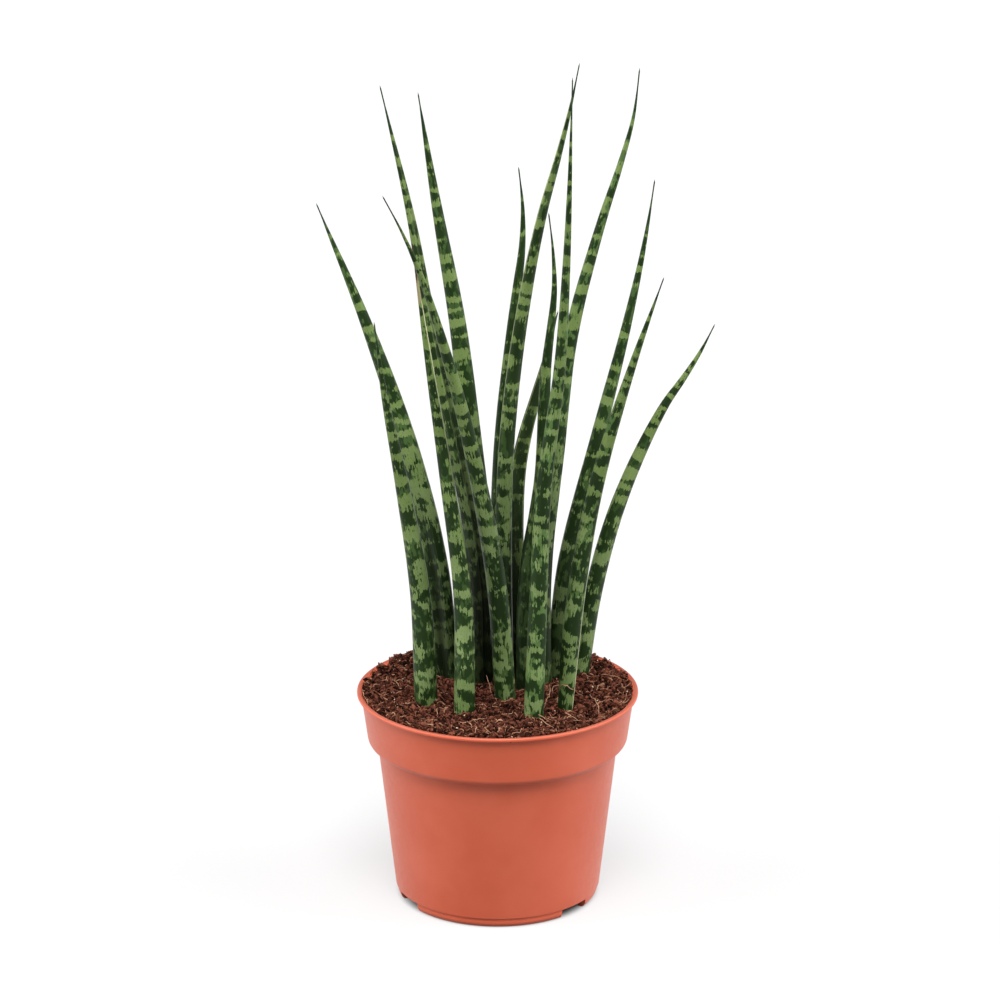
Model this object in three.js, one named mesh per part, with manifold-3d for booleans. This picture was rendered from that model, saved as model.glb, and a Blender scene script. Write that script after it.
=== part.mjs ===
// A spear-leaved snake plant in a 14 cm plastic nursery pot.
// Millimetres, +Z up. The origin is on the pot's axis, at the height of the surface it stands on,
// in the middle of the round foot under the pot's floor. The front of the plant faces -Y.
import * as THREE from 'three';
import { mergeVertices } from 'three/addons/utils/BufferGeometryUtils.js';
import Module from 'manifold-3d';

const wasm = await Module();
wasm.setup();

// ---------------------------------------------------------------- driving dimensions

const GAP = 0.3; // between pieces that touch
const CUT = 1; // how far a cutter runs past what it cuts

const POT = {
  rimRadius: 70,
  height: 107.5,
  wall: 1.4,
  lipHeight: 1.9,
  lipOverhang: 2.1,
  lipInnerRadius: 68.3,
  lipEdge: 0.4, // small rounds of the lip's lower edge
  lipRound: 0.8, // of its upper edges
  lipBend: 4, // how far under the rim the wall starts to turn outwards
  bandHeight: 25.4, // stacking band, from the rim down to its lower edge
  bandTaper: 3.1, // how much narrower the band's lower edge is
  shoulderDrop: 2.8, // from the band's lower edge to the body
  shoulderRound: 0.8,
  bodyTopRadius: 59.8,
  bodyFootRadius: 50.7,
  bevelHeight: 4.3, // the drawn-in edge at the foot
  footRadius: 48.7,
  footWidth: 2.6, // of the ring that the pot stands on
  floorLift: 5.5,
  floorThickness: 1.6,
  centreFootRadius: 15,
  draft: 1, // slant of the middle foot's side
  sides: 60,
  curvePoints: 3, // in each rounded stretch of the section
};

// Bearings are in degrees, from +X anticlockwise as seen from above.
const NOTCH = { bearings: [-40, 84, 207], halfAngle: 10.5, height: 4.5, arcPoints: 5 };
const DRAIN = { count: 8, radius: 4, circleRadius: 31, sides: 14 };

const SOIL = {
  edgeLevel: 105.8,
  mound: 0.8, // how much higher it lies among the leaves
  wallRadius: 65.6, // where its top meets the pot's wall
  rings: 17,
  sides: 66,
  seed: 7,
};

// Heaps of loose crumbs that stand above the level: centre, reach and height.
const HEAPS = [
  { x: -42, y: 47, reach: 15, height: 2.6 },
  { x: -30, y: -12, reach: 14, height: 1.2 },
  { x: 50, y: 8, reach: 16, height: 1.4 },
  { x: 6, y: -24, reach: 12, height: 1 },
];

// Lumps of the crumbled surface: size across and height.
const CRUMBS = [
  { size: 7.5, height: 2.2 },
  { size: 4.1, height: 1.5 },
];

const LEAF = {
  soilLine: 107, // height at which a leaf's foot is given
  buried: 24, // length below the soil
  sides: 12,
  rings: 14,
  flatness: 0.94, // thickness over width
  channelDepth: 0.5, // share of the radius
  neckReach: 0.25, // share of the height over which a leaf narrows to its neck
  holeClearance: 0.5,
};

// Every leaf is given by its centre line: where it stands in the soil, the points that it grows
// through, and its tip. Girth is its widest, fullness says how far up it keeps its width, neck how
// much it narrows at the soil, and faces is the bearing that its channel is open to.
const LEAVES = [
  { name: 'leaf_left_front', foot: [-35.2, -18], grows: [[-37.9, -21, 165], [-46.7, -26, 225],
    [-54.4, -30, 270]], tip: [-58.7, -34, 306], girth: 12, fullness: 1.6, neck: 0, faces: 35 },
  { name: 'leaf_left_back', foot: [-25, 16], grows: [[-30.4, 21, 165], [-44.2, 29, 225],
    [-65, 40, 285]], tip: [-89.4, 52, 343], girth: 12.2, fullness: 2.3, neck: 0, faces: -115 },
  { name: 'leaf_front_left', foot: [-15.8, -31], grows: [[-16.5, -31, 165], [-24.1, -32, 225],
    [-32.6, -33, 285]], tip: [-40.6, -34, 345], girth: 11.8, fullness: 1.5, neck: 0, faces: 0 },
  { name: 'leaf_mid_left', foot: [-7.7, 9.5], grows: [[-9.7, 10, 165], [-19.5, 13, 225],
    [-31.8, 16, 285], [-42.3, 20, 345]], tip: [-56.7, 24, 408], girth: 9.8, fullness: 2.3, neck: 0,
    faces: -50 },
  { name: 'leaf_front_middle', foot: [3.8, -14], grows: [[0, -20, 165], [-9.2, -31, 225],
    [-22.2, -44, 285], [-39.5, -60, 345]], tip: [-53.2, -70, 376], girth: 11, fullness: 1.85,
    neck: 0, faces: 25 },
  { name: 'leaf_tall_left', foot: [-3.2, 22], grows: [[-6.2, 25, 165], [-12.7, 30, 225],
    [-19.6, 36, 285], [-30.1, 43, 345]], tip: [-38.9, 50, 399], girth: 11.1, fullness: 2.9, neck: 0,
    faces: 90 },
  { name: 'leaf_thin_back', foot: [0.8, 34], grows: [[0.3, 38, 165], [2.3, 44, 225], [8, 51, 285],
    [12.7, 58, 330]], tip: [10.3, 62, 359], girth: 8.9, fullness: 2.8, neck: 0, faces: 100 },
  { name: 'leaf_tall_middle', foot: [3.8, 8], grows: [[2.8, 5, 165], [3.6, 1, 225], [9.3, -4, 285],
    [19.5, -10, 345], [32, -16, 395]], tip: [38.5, -20, 428], girth: 9.3, fullness: 2.9, neck: 0,
    faces: 180 },
  { name: 'leaf_front_right', foot: [17.8, -36], grows: [[19.8, -38, 165], [22.3, -41, 225],
    [29.4, -45, 285], [32.8, -51, 350]], tip: [34.5, -58, 429], girth: 10.6, fullness: 1.5, neck: 0,
    faces: 5 },
  { name: 'leaf_tall_right', foot: [22.3, 9.5], grows: [[22.3, 13, 165], [28.7, 17, 225],
    [36.3, 22, 285], [52.3, 28, 345], [64.8, 33, 385]], tip: [68.7, 36, 414], girth: 9.6,
    fullness: 2.3, neck: 0, faces: 90 },
  { name: 'leaf_short_middle', foot: [13.8, 0.5], grows: [[14.8, 2, 165], [21.6, 4, 215],
    [23.2, 7, 265], [27.6, 10, 315]], tip: [24.6, 12, 348], girth: 9.5, fullness: 2, neck: 0,
    faces: 60 },
  { name: 'leaf_dark_middle', foot: [8.8, 20], grows: [[8.3, 24, 165], [10.8, 32, 215],
    [22.4, 40, 260]], tip: [30, 46, 290], girth: 9.4, fullness: 3.2, neck: 0, faces: -90 },
  { name: 'leaf_right_back', foot: [28.9, 18.5], grows: [[34.3, 22, 165], [48.6, 29, 225],
    [63.9, 39, 285], [72.5, 46, 325]], tip: [77.3, 52, 355], girth: 9.7, fullness: 2, neck: 0,
    faces: 60 },
  { name: 'leaf_right_front', foot: [33.3, -27], grows: [[38.1, -30, 165], [47.6, -36, 225],
    [63.4, -43, 285]], tip: [78.1, -50, 332], girth: 10.3, fullness: 2.3, neck: 0.22, faces: 3 },
  { name: 'leaf_outer_right', foot: [41.5, 26], grows: [[48.3, 29, 150], [60.8, 33, 195],
    [81.3, 39, 240], [97.9, 43, 264.5]], tip: [107.8, 46, 283], girth: 9.8, fullness: 2.6, neck: 0,
    faces: 160 },
];

// ---------------------------------------------------------------- materials

const potMaterial = new THREE.MeshStandardMaterial({ color: '#c9603f', roughness: 0.48, metalness: 0 });
const soilMaterial = new THREE.MeshStandardMaterial({ color: '#4a2a1f', roughness: 1, metalness: 0 });
const leafMaterial = new THREE.MeshStandardMaterial({ color: '#4c7a45', roughness: 0.5, metalness: 0 });

// ---------------------------------------------------------------- closed bodies

function bodyOf(geometry) {
  const bare = geometry.clone();
  bare.deleteAttribute('normal');
  bare.deleteAttribute('uv');
  const merged = mergeVertices(bare, 1e-4);
  return new wasm.Manifold(new wasm.Mesh({
    numProp: 3,
    vertProperties: new Float32Array(merged.attributes.position.array),
    triVerts: new Uint32Array(merged.index.array),
  }));
}

function geometryOf(body) {
  const mesh = body.getMesh();
  const geometry = new THREE.BufferGeometry();
  geometry.setAttribute('position', new THREE.BufferAttribute(mesh.vertProperties, 3));
  geometry.setIndex(new THREE.BufferAttribute(mesh.triVerts, 1));
  geometry.computeVertexNormals();
  return geometry;
}

// A closed skin over rings of equal count, given in order, with a point in the middle of each end.
function skinOver(rings, startPoint, endPoint) {
  const sides = rings[0].length;
  const positions = rings.flat().concat([startPoint, endPoint]).flatMap((p) => [p.x, p.y, p.z]);
  const start = rings.length * sides;
  const end = start + 1;
  const index = [];
  for (let i = 0; i < sides; i += 1) {
    const next = (i + 1) % sides;
    index.push(start, next, i);
    for (let ring = 0; ring < rings.length - 1; ring += 1) {
      const low = ring * sides;
      const high = low + sides;
      index.push(low + i, low + next, high + next);
      index.push(low + i, high + next, high + i);
    }
    const last = (rings.length - 1) * sides;
    index.push(end, last + i, last + next);
  }
  const geometry = new THREE.BufferGeometry();
  geometry.setAttribute('position', new THREE.Float32BufferAttribute(positions, 3));
  geometry.setIndex(index);
  return geometry;
}

function onAxis(z) {
  return new THREE.Vector3(0, 0, z);
}

// ---------------------------------------------------------------- pot

// Inside radius of the pot at a height, along the band and the body.
function innerRadius(z) {
  const bandFoot = POT.height - POT.bandHeight;
  const bodyTop = bandFoot - POT.shoulderDrop;
  const bandTopRadius = POT.rimRadius - POT.lipOverhang;
  if (z > bandFoot) {
    const rise = (z - bandFoot) / POT.bandHeight;
    return bandTopRadius - POT.bandTaper * (1 - rise) - POT.wall;
  }
  const rise = z / bodyTop;
  return POT.bodyFootRadius + (POT.bodyTopRadius - POT.bodyFootRadius) * rise - POT.wall;
}

// Half of the pot's section: under the foot and the floor, up the outside, and down the inside.
function potProfile() {
  const floorTop = POT.floorLift + POT.floorThickness;
  const footInner = POT.footRadius - POT.footWidth;
  const bandFoot = POT.height - POT.bandHeight;
  const bodyTop = bandFoot - POT.shoulderDrop;
  const shoulderTop = bandFoot + POT.shoulderRound;
  const bandTopRadius = POT.rimRadius - POT.lipOverhang;
  const bandFootRadius = bandTopRadius - POT.bandTaper;
  const shoulderRadius = (POT.bodyTopRadius + bandFootRadius) / 2;
  const shoulderMiddle = (bodyTop + shoulderTop) / 2;
  const lipFoot = POT.height - POT.lipHeight;
  const bendFoot = POT.height - POT.lipBend;
  const innerStep = bandFoot + POT.wall;
  const path = new THREE.Path();
  path.moveTo(0, 0);
  path.lineTo(POT.centreFootRadius, 0);
  path.lineTo(POT.centreFootRadius + POT.draft, POT.floorLift);
  path.lineTo(footInner, POT.floorLift);
  path.lineTo(footInner, 0);
  path.lineTo(POT.footRadius, 0);
  path.quadraticCurveTo(POT.bodyFootRadius, POT.bevelHeight / 3, POT.bodyFootRadius, POT.bevelHeight);
  path.lineTo(POT.bodyTopRadius, bodyTop);
  path.quadraticCurveTo(
    POT.bodyTopRadius, shoulderMiddle - POT.shoulderRound, shoulderRadius, shoulderMiddle);
  path.quadraticCurveTo(
    bandFootRadius, shoulderMiddle + POT.shoulderRound, bandFootRadius, shoulderTop);
  path.lineTo(bandTopRadius, lipFoot - POT.lipEdge);
  path.lineTo(POT.rimRadius - POT.lipEdge, lipFoot);
  path.lineTo(POT.rimRadius, lipFoot + POT.lipEdge);
  path.quadraticCurveTo(POT.rimRadius, POT.height, POT.rimRadius - POT.lipRound, POT.height);
  path.lineTo(POT.lipInnerRadius + POT.lipRound / 2, POT.height);
  path.quadraticCurveTo(
    POT.lipInnerRadius, POT.height, POT.lipInnerRadius, POT.height - POT.lipRound / 2);
  path.quadraticCurveTo(innerRadius(bendFoot), lipFoot, innerRadius(bendFoot), bendFoot);
  path.lineTo(innerRadius(innerStep), innerStep);
  path.lineTo(innerRadius(bodyTop), bodyTop);
  path.lineTo(innerRadius(floorTop), floorTop);
  path.lineTo(POT.centreFootRadius + POT.draft - POT.wall, floorTop);
  path.lineTo(POT.centreFootRadius - POT.wall, POT.floorThickness);
  path.lineTo(0, POT.floorThickness);
  return path.getPoints(POT.curvePoints);
}

function lathed(points, sides) {
  return new THREE.LatheGeometry(points, sides).rotateX(Math.PI / 2);
}

// A sector of the foot edge, from outside the pot to inside the ring that it stands on.
function notchCutter(bearing) {
  const from = THREE.MathUtils.degToRad(bearing - NOTCH.halfAngle);
  const to = THREE.MathUtils.degToRad(bearing + NOTCH.halfAngle);
  const inner = POT.footRadius - POT.footWidth - CUT;
  const outer = POT.bodyFootRadius + CUT;
  const sector = new THREE.Shape();
  sector.absarc(0, 0, outer, from, to, false);
  sector.absarc(0, 0, inner, to, from, true);
  sector.closePath();
  const depth = NOTCH.height + CUT;
  const options = { depth, bevelEnabled: false, curveSegments: NOTCH.arcPoints };
  return new THREE.ExtrudeGeometry(sector, options).translate(0, 0, -CUT);
}

function drainCutter(index) {
  const angle = ((index + 0.5) * 2 * Math.PI) / DRAIN.count;
  const x = DRAIN.circleRadius * Math.cos(angle);
  const y = DRAIN.circleRadius * Math.sin(angle);
  const depth = POT.floorThickness + 2 * CUT;
  return new THREE.CylinderGeometry(DRAIN.radius, DRAIN.radius, depth, DRAIN.sides)
    .rotateX(Math.PI / 2)
    .translate(x, y, POT.floorLift + POT.floorThickness / 2);
}

function makePot() {
  let pot = bodyOf(lathed(potProfile(), POT.sides));
  for (const bearing of NOTCH.bearings) {
    pot = pot.subtract(bodyOf(notchCutter(bearing)));
  }
  for (let i = 0; i < DRAIN.count; i += 1) {
    pot = pot.subtract(bodyOf(drainCutter(i)));
  }
  return geometryOf(pot);
}

// ---------------------------------------------------------------- leaves

function bearingVector(degrees) {
  const angle = THREE.MathUtils.degToRad(degrees);
  return new THREE.Vector3(Math.cos(angle), Math.sin(angle), 0);
}

function centreLine(leaf, extra) {
  const foot = new THREE.Vector3(leaf.foot[0], leaf.foot[1], LEAF.soilLine);
  const first = new THREE.Vector3(...leaf.grows[0]);
  const down = foot.clone().sub(first).normalize();
  const root = foot.clone().addScaledVector(down, LEAF.buried + extra);
  const grows = leaf.grows.map((point) => new THREE.Vector3(...point));
  const tip = new THREE.Vector3(...leaf.tip);
  return new THREE.CatmullRomCurve3([root, foot, ...grows, tip], false, 'centripetal');
}

// Width at a share of the height above the soil, from 0 at the foot to 1 at the tip.
function widthAt(leaf, share) {
  const up = Math.max(share, 0);
  const body = 1 - up ** leaf.fullness;
  const neck = up < LEAF.neckReach ? leaf.neck * (1 - up / LEAF.neckReach) ** 2 : 0;
  return leaf.girth * body * (1 - neck);
}

// One point of the nearly round section, with the channel on its inner side.
function sectionPoint(side, radius, grow) {
  const angle = (side / LEAF.sides) * 2 * Math.PI;
  const inChannel = side * 4 === LEAF.sides;
  const reach = (inChannel ? radius * (1 - LEAF.channelDepth) : radius) + grow;
  return { across: reach * Math.cos(angle), out: reach * Math.sin(angle) * LEAF.flatness };
}

function leafRing(leaf, curve, share, grow) {
  const centre = curve.getPointAt(share);
  const along = curve.getTangentAt(share);
  const out = bearingVector(leaf.faces);
  out.addScaledVector(along, -out.dot(along)).normalize();
  const across = new THREE.Vector3().crossVectors(out, along);
  const height = (centre.z - LEAF.soilLine) / (leaf.tip[2] - LEAF.soilLine);
  const radius = widthAt(leaf, height) / 2;
  const ring = [];
  for (let side = 0; side < LEAF.sides; side += 1) {
    const point = sectionPoint(side, radius, grow);
    ring.push(centre.clone()
      .addScaledVector(across, point.across)
      .addScaledVector(out, point.out));
  }
  return ring;
}

function leafGeometry(leaf, grow = 0) {
  const curve = centreLine(leaf, grow);
  const rings = [];
  for (let i = 0; i < LEAF.rings; i += 1) {
    rings.push(leafRing(leaf, curve, i / LEAF.rings, grow));
  }
  const geometry = skinOver(rings, curve.getPointAt(0), curve.getPointAt(1));
  geometry.computeVertexNormals();
  return geometry;
}

// ---------------------------------------------------------------- soil

// A repeatable number from 0 to 1 for each point of a square lattice. The factors are the usual ones
// of a sine hash, and only have to be large and unlike each other.
function latticeValue(i, j, layer) {
  const mixed = Math.sin(i * 127.1 + j * 311.7 + (layer + SOIL.seed) * 74.7) * 43758.5453;
  return mixed - Math.floor(mixed);
}

function smoothNoise(x, y, size, layer) {
  const i = Math.floor(x / size);
  const j = Math.floor(y / size);
  const u = THREE.MathUtils.smoothstep(x / size - i, 0, 1);
  const v = THREE.MathUtils.smoothstep(y / size - j, 0, 1);
  const near = THREE.MathUtils.lerp(latticeValue(i, j, layer), latticeValue(i + 1, j, layer), u);
  const far = THREE.MathUtils.lerp(latticeValue(i, j + 1, layer), latticeValue(i + 1, j + 1, layer), u);
  return THREE.MathUtils.lerp(near, far, v);
}

function soilLevel(x, y) {
  const fromAxis = Math.hypot(x, y) / SOIL.wallRadius;
  let level = SOIL.edgeLevel + SOIL.mound * (1 - THREE.MathUtils.smoothstep(fromAxis, 0.35, 1));
  for (const heap of HEAPS) {
    const away = Math.hypot(x - heap.x, y - heap.y) / heap.reach;
    level += heap.height * (1 - THREE.MathUtils.smoothstep(away, 0, 1));
  }
  CRUMBS.forEach((crumb, layer) => {
    level += crumb.height * (smoothNoise(x, y, crumb.size, layer) - 0.5);
  });
  return level;
}

function soilRing(radius, heightAt) {
  const ring = [];
  for (let side = 0; side < SOIL.sides; side += 1) {
    const angle = (side / SOIL.sides) * 2 * Math.PI;
    const x = radius * Math.cos(angle);
    const y = radius * Math.sin(angle);
    ring.push(new THREE.Vector3(x, y, heightAt(x, y)));
  }
  return ring;
}

// The soil's sides and underside follow the inside of the pot, from the floor up.
function soilBelow() {
  const floorTop = POT.floorLift + POT.floorThickness + GAP;
  const bandFoot = POT.height - POT.bandHeight;
  const bodyTop = bandFoot - POT.shoulderDrop;
  const innerStep = bandFoot + POT.wall;
  const facet = Math.cos(Math.PI / POT.sides); // the pot's flats lie inside its circle
  const clear = (z) => innerRadius(z) * facet - GAP;
  const inFoot = POT.centreFootRadius - POT.wall - 2 * GAP;
  return [
    { radius: inFoot, z: POT.floorThickness + GAP },
    { radius: inFoot + POT.draft, z: floorTop },
    { radius: clear(floorTop), z: floorTop },
    { radius: clear(bodyTop - GAP), z: bodyTop - GAP },
    { radius: clear(innerStep), z: innerStep + GAP },
  ];
}

function makeSoil() {
  const rings = soilBelow().map((band) => soilRing(band.radius, () => band.z));
  for (let i = SOIL.rings; i > 0; i -= 1) {
    rings.push(soilRing((i / SOIL.rings) * SOIL.wallRadius, soilLevel));
  }
  const bottom = onAxis(POT.floorThickness + GAP);
  let soil = bodyOf(skinOver(rings, bottom, onAxis(soilLevel(0, 0))));
  for (const leaf of LEAVES) {
    soil = soil.subtract(bodyOf(leafGeometry(leaf, LEAF.holeClearance)));
  }
  return geometryOf(soil);
}

// ---------------------------------------------------------------- the plant in its pot

function namedMesh(name, geometry, material) {
  const mesh = new THREE.Mesh(geometry, material);
  mesh.name = name;
  return mesh;
}

const plant = new THREE.Group();
plant.add(namedMesh('pot', makePot(), potMaterial));
plant.add(namedMesh('soil', makeSoil(), soilMaterial));
for (const leaf of LEAVES) {
  plant.add(namedMesh(leaf.name, leafGeometry(leaf), leafMaterial));
}

export default plant;
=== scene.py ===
import math
import random

import bmesh
import bpy
from mathutils import Matrix, Vector, noise


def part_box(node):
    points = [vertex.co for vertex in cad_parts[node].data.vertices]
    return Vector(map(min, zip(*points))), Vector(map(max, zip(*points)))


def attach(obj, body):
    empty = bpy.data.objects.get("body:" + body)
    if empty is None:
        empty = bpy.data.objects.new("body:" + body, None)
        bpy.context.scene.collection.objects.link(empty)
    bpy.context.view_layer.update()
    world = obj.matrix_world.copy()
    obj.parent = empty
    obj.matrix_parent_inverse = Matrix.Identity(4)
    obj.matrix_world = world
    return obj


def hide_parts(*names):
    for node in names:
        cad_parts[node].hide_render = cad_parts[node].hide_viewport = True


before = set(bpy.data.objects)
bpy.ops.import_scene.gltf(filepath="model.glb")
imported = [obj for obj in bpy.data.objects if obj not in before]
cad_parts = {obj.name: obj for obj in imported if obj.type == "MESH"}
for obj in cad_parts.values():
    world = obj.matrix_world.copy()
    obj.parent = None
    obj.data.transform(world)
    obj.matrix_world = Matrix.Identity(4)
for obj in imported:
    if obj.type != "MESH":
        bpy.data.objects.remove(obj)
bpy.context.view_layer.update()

# ---------------------------------------------------------------- nursery pot
# The pot is one thin injection moulding of terracotta-coloured polypropylene: a tapering body, a wider
# band that keeps stacked pots apart, a lip that turns outwards, and a foot ring with three notches that
# let water out. Every edge has the small round that the mould leaves.

MM = 0.001

pot_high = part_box("pot")[1]
RIM_RADIUS = pot_high.x
POT_HEIGHT = pot_high.z
POT_WALL = 1.4 * MM
LIP_HEIGHT = 1.9 * MM
LIP_OVERHANG = 2.1 * MM
LIP_WIDTH = 1.7 * MM
LIP_BEND = 4 * MM  # how far under the rim the wall starts to turn outwards
LIP_FILLET = 0.5 * MM
LIP_SLOPE = 0.15 * MM  # how much the lip's underside rises towards its edge
BAND_HEIGHT = 25.4 * MM
BAND_TAPER = 3.1 * MM
BAND_EDGE = 0.9 * MM  # how far the band's lower edge turns in, and over what height
BAND_EDGE_DROP = 0.55 * MM
SHOULDER_DROP = 2.8 * MM
BODY_TOP_RADIUS = 59.8 * MM
BODY_FOOT_RADIUS = 50.7 * MM
FOOT_RADIUS = 48.7 * MM
FOOT_WIDTH = 2.6 * MM
FOOT_EDGE = 1.8 * MM  # height at which the foot's slanted edge meets the body
LEDGE_HEIGHT = 5.0 * MM  # a fine step round the foot, level with the top of the notches
LEDGE_DEPTH = 0.3 * MM
LEDGE_UNDER = 0.15 * MM
LEDGE_OVER = 0.1 * MM
FLOOR_LIFT = 5.5 * MM
FLOOR_THICKNESS = 1.6 * MM
CENTRE_FOOT_RADIUS = 15 * MM
CENTRE_FOOT_DRAFT = 1 * MM
NOTCH_BEARINGS = (-40, 84, 207)  # degrees from +X, anticlockwise from above
NOTCH_WIDTH = 21  # degrees
NOTCH_HEIGHT = 4.6 * MM
NOTCH_STEPS = 12
CUTTER_MARGIN = 1 * MM  # how far a notch's cutter reaches past the ring on each side
DRAIN_COUNT = 8
DRAIN_RADIUS = 4 * MM
DRAIN_CIRCLE = 31 * MM
DRAIN_SIDES = 32
ROUND_STEPS = 4
SPIN_STEPS = 180
MERGED_WITHIN = 0.01 * MM
COINCIDENT = 0.001 * MM
SHARP_ANGLE = 35  # degrees

band_foot = POT_HEIGHT - BAND_HEIGHT
body_top = band_foot - SHOULDER_DROP
band_top_radius = RIM_RADIUS - LIP_OVERHANG
band_foot_radius = band_top_radius - BAND_TAPER
lip_foot = POT_HEIGHT - LIP_HEIGHT
floor_top = FLOOR_LIFT + FLOOR_THICKNESS


def outer_radius(z):
    """Radius of the body's outside at a height."""
    return BODY_FOOT_RADIUS + (BODY_TOP_RADIUS - BODY_FOOT_RADIUS) * z / body_top


def inner_radius(z):
    """Radius of the pot's inside at a height, along the band and the body."""
    if z > band_foot:
        return band_top_radius - BAND_TAPER * (POT_HEIGHT - z) / BAND_HEIGHT - POT_WALL
    return outer_radius(z) - POT_WALL


# Corners of half the section, from the axis under the foot round the outside and back inside: radius,
# height, and how far the corner's round reaches along its sides, in millimetres.
pot_corners = (
    (0, 0, 0),
    (CENTRE_FOOT_RADIUS, 0, 0.4),
    (CENTRE_FOOT_RADIUS + CENTRE_FOOT_DRAFT, FLOOR_LIFT, 0.5),
    (FOOT_RADIUS - FOOT_WIDTH, FLOOR_LIFT, 0.5),
    (FOOT_RADIUS - FOOT_WIDTH, 0, 0.3),
    (FOOT_RADIUS, 0, 0.35),
    (BODY_FOOT_RADIUS - LEDGE_DEPTH, FOOT_EDGE, 1.2),
    (BODY_FOOT_RADIUS - LEDGE_DEPTH, LEDGE_HEIGHT - LEDGE_UNDER, 0.12),
    (outer_radius(LEDGE_HEIGHT), LEDGE_HEIGHT + LEDGE_OVER, 0.2),
    (BODY_TOP_RADIUS, body_top, 0.8),
    (band_foot_radius - BAND_EDGE, band_foot - BAND_EDGE_DROP, 0.9),
    (band_foot_radius, band_foot + BAND_EDGE, 0.7),
    (band_top_radius, lip_foot - LIP_FILLET, 0.3),
    (band_top_radius + LIP_FILLET, lip_foot, 0.2),
    (RIM_RADIUS, lip_foot + LIP_SLOPE, 0.5),
    (RIM_RADIUS, POT_HEIGHT, 0.75),
    (RIM_RADIUS - LIP_WIDTH, POT_HEIGHT, 0.5),
    (inner_radius(POT_HEIGHT - LIP_BEND), lip_foot, 1.9),
    (inner_radius(band_foot + POT_WALL), band_foot + POT_WALL, 1.2),
    (outer_radius(body_top) - POT_WALL, body_top, 1.2),
    (inner_radius(floor_top), floor_top, 1.2),
    (CENTRE_FOOT_RADIUS + CENTRE_FOOT_DRAFT - POT_WALL, floor_top, 0.8),
    (CENTRE_FOOT_RADIUS - POT_WALL, FLOOR_THICKNESS, 0.8),
    (0, FLOOR_THICKNESS, 0),
)
pot_work = bmesh.new()
profile = [pot_work.verts.new((radius, 0, z)) for radius, z, _ in pot_corners]
for start, end in zip(profile, profile[1:]):
    pot_work.edges.new((start, end))
for corner, (_, _, reach) in zip(profile, pot_corners):
    if reach:
        bmesh.ops.bevel(pot_work, geom=[corner], offset=reach * MM, offset_type="OFFSET",
                        segments=ROUND_STEPS, profile=0.5, affect="VERTICES", material=-1,
                        clamp_overlap=True)
bmesh.ops.spin(pot_work, geom=pot_work.verts[:] + pot_work.edges[:], cent=(0, 0, 0), axis=(0, 0, 1),
               dvec=(0, 0, 0), angle=2 * math.pi, space=Matrix.Identity(4), steps=SPIN_STEPS,
               use_merge=True, use_normal_flip=False, use_duplicate=False)
bmesh.ops.remove_doubles(pot_work, verts=pot_work.verts[:], dist=MERGED_WITHIN)
bmesh.ops.recalc_face_normals(pot_work, faces=pot_work.faces[:])

# The notches are sectors that run through the foot ring, and the drain holes are plain cylinders.
cutter_work = bmesh.new()
notch_inside = FOOT_RADIUS - FOOT_WIDTH - CUTTER_MARGIN
notch_outside = BODY_FOOT_RADIUS + CUTTER_MARGIN
for bearing in NOTCH_BEARINGS:
    sides = ((notch_inside, 0, -CUTTER_MARGIN), (notch_outside, 0, -CUTTER_MARGIN),
             (notch_outside, 0, NOTCH_HEIGHT), (notch_inside, 0, NOTCH_HEIGHT))
    section = [cutter_work.verts.new(side) for side in sides]
    face = cutter_work.faces.new(section)
    to_start = Matrix.Rotation(math.radians(bearing - NOTCH_WIDTH / 2), 3, "Z")
    bmesh.ops.rotate(cutter_work, verts=section, cent=(0, 0, 0), matrix=to_start)
    bmesh.ops.spin(cutter_work, geom=[face] + list(face.edges) + section, cent=(0, 0, 0),
                   axis=(0, 0, 1), dvec=(0, 0, 0), angle=math.radians(NOTCH_WIDTH),
                   space=Matrix.Identity(4), steps=NOTCH_STEPS, use_merge=False,
                   use_normal_flip=False, use_duplicate=False)
for i in range(DRAIN_COUNT):
    angle = (i + 0.5) * 2 * math.pi / DRAIN_COUNT
    hole = Vector((DRAIN_CIRCLE * math.cos(angle), DRAIN_CIRCLE * math.sin(angle), floor_top))
    bmesh.ops.create_cone(cutter_work, cap_ends=True, segments=DRAIN_SIDES, radius1=DRAIN_RADIUS,
                          radius2=DRAIN_RADIUS, depth=4 * FLOOR_THICKNESS,
                          matrix=Matrix.Translation(hole))
bmesh.ops.recalc_face_normals(cutter_work, faces=cutter_work.faces[:])


def srgb(code):
    """A colour for a shader, from its sRGB hex code."""
    parts = [int(code[i:i + 2], 16) / 255 for i in (1, 3, 5)]
    return [p / 12.92 if p <= 0.04045 else ((p + 0.055) / 1.055) ** 2.4 for p in parts] + [1]


def add(tree, kind, inputs=None, **settings):
    """A node with its settings. Each input is a value, or the output or node that it is linked to, and
    goes by its socket's name, or by its number where sockets share a name: a mix has its share at 0, its
    numbers at 2 and 3, and its colours at 6 and 7."""
    node = tree.nodes.new(kind)
    for name, value in settings.items():
        setattr(node, name, value)
    for socket, value in (inputs or {}).items():
        if isinstance(value, bpy.types.Node):
            value = next(output for output in value.outputs if output.enabled)
        if isinstance(value, bpy.types.NodeSocket):
            tree.links.new(value, node.inputs[socket])
        else:
            node.inputs[socket].default_value = value
    return node


def empty_material(name):
    made = bpy.data.materials.new(name)
    made.use_nodes = True
    made.node_tree.nodes.clear()
    return made, made.node_tree


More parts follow.
